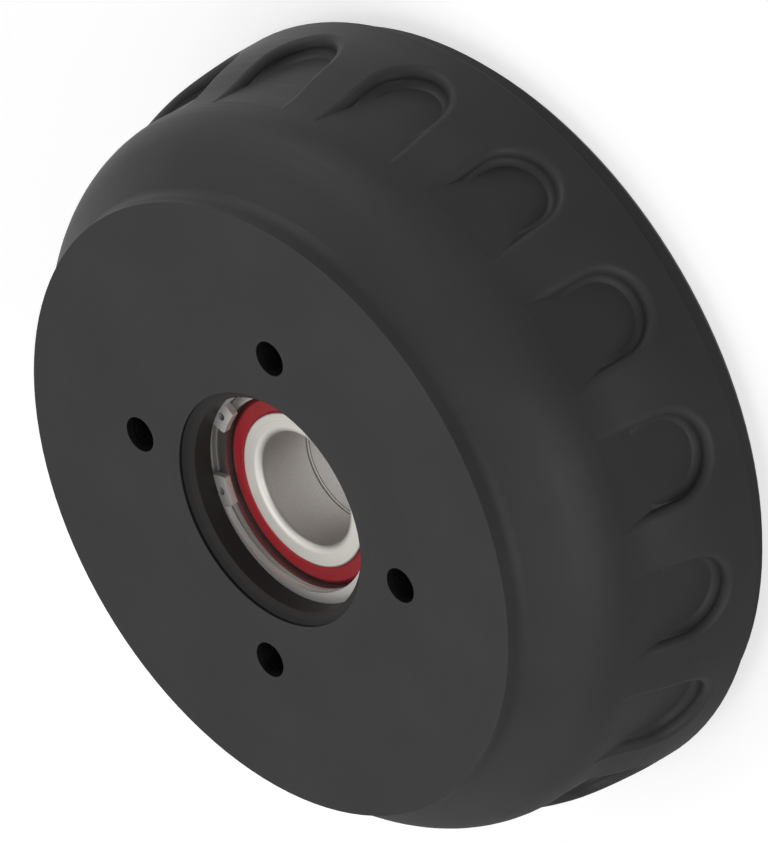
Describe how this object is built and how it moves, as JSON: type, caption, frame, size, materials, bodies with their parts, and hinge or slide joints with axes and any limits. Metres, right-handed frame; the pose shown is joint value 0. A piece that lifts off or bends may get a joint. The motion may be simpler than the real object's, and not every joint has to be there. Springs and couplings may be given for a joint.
{
  "type": "brake drum",
  "caption": "Cast brake drum with a pocketed outer rim, a bolt circle for the wheel and a sealed double-row ball bearing held in its bore by a circlip.",
  "frame": {"origin": "centre of the open rim's plane, on the drum's axis", "axes": "+Z along the drum's axis, out of the wheel face; +X and +Y through wheel bolt holes, the circlip's gap toward -X"},
  "size_m": [0.2242, 0.2242, 0.0825],
  "materials": {
    "painted_iron": "satin black paint",
    "spring_steel": "bright spring steel",
    "bearing_steel": "ground",
    "ball_steel": "polished",
    "seal_rubber": "matte red",
    "cage_plastic": "moulded"
  },
  "bodies": {
    "drum": {"brake_drum": "painted_iron", "circlip": "spring_steel", "bearing_outer_ring": "bearing_steel", "front_seal": "seal_rubber", "rear_seal": "seal_rubber"},
    "inner_ring": {"front_inner_ring": "bearing_steel", "rear_inner_ring": "bearing_steel"},
    "front_cage": {"front_cage": "cage_plastic", "front_ball_01": "ball_steel", "front_ball_02": "ball_steel", "front_ball_03": "ball_steel", "front_ball_04": "ball_steel", "front_ball_05": "ball_steel", "front_ball_06": "ball_steel", "front_ball_07": "ball_steel", "front_ball_08": "ball_steel", "front_ball_09": "ball_steel", "front_ball_10": "ball_steel", "front_ball_11": "ball_steel", "front_ball_12": "ball_steel", "front_ball_13": "ball_steel"},
    "rear_cage": {"rear_cage": "cage_plastic", "rear_ball_01": "ball_steel", "rear_ball_02": "ball_steel", "rear_ball_03": "ball_steel", "rear_ball_04": "ball_steel", "rear_ball_05": "ball_steel", "rear_ball_06": "ball_steel", "rear_ball_07": "ball_steel", "rear_ball_08": "ball_steel", "rear_ball_09": "ball_steel", "rear_ball_10": "ball_steel", "rear_ball_11": "ball_steel", "rear_ball_12": "ball_steel", "rear_ball_13": "ball_steel"}
  },
  "joints": [
    {"name": "hub_spin", "type": "hinge", "parent": "drum", "child": "inner_ring", "pos_m": [0, 0, 0.0512], "axis": [0, 0, 1], "continuous": true},
    {"name": "front_cage_spin", "type": "hinge", "parent": "drum", "child": "front_cage", "pos_m": [0, 0, 0.0588], "axis": [0, 0, 1], "continuous": true},
    {"name": "rear_cage_spin", "type": "hinge", "parent": "drum", "child": "rear_cage", "pos_m": [0, 0, 0.0436], "axis": [0, 0, 1], "continuous": true}
  ],
  "couplings": [
    {"joint": "front_cage_spin", "follows": "hub_spin", "ratio": 0.4222},
    {"joint": "rear_cage_spin", "follows": "hub_spin", "ratio": 0.4222}
  ]
}
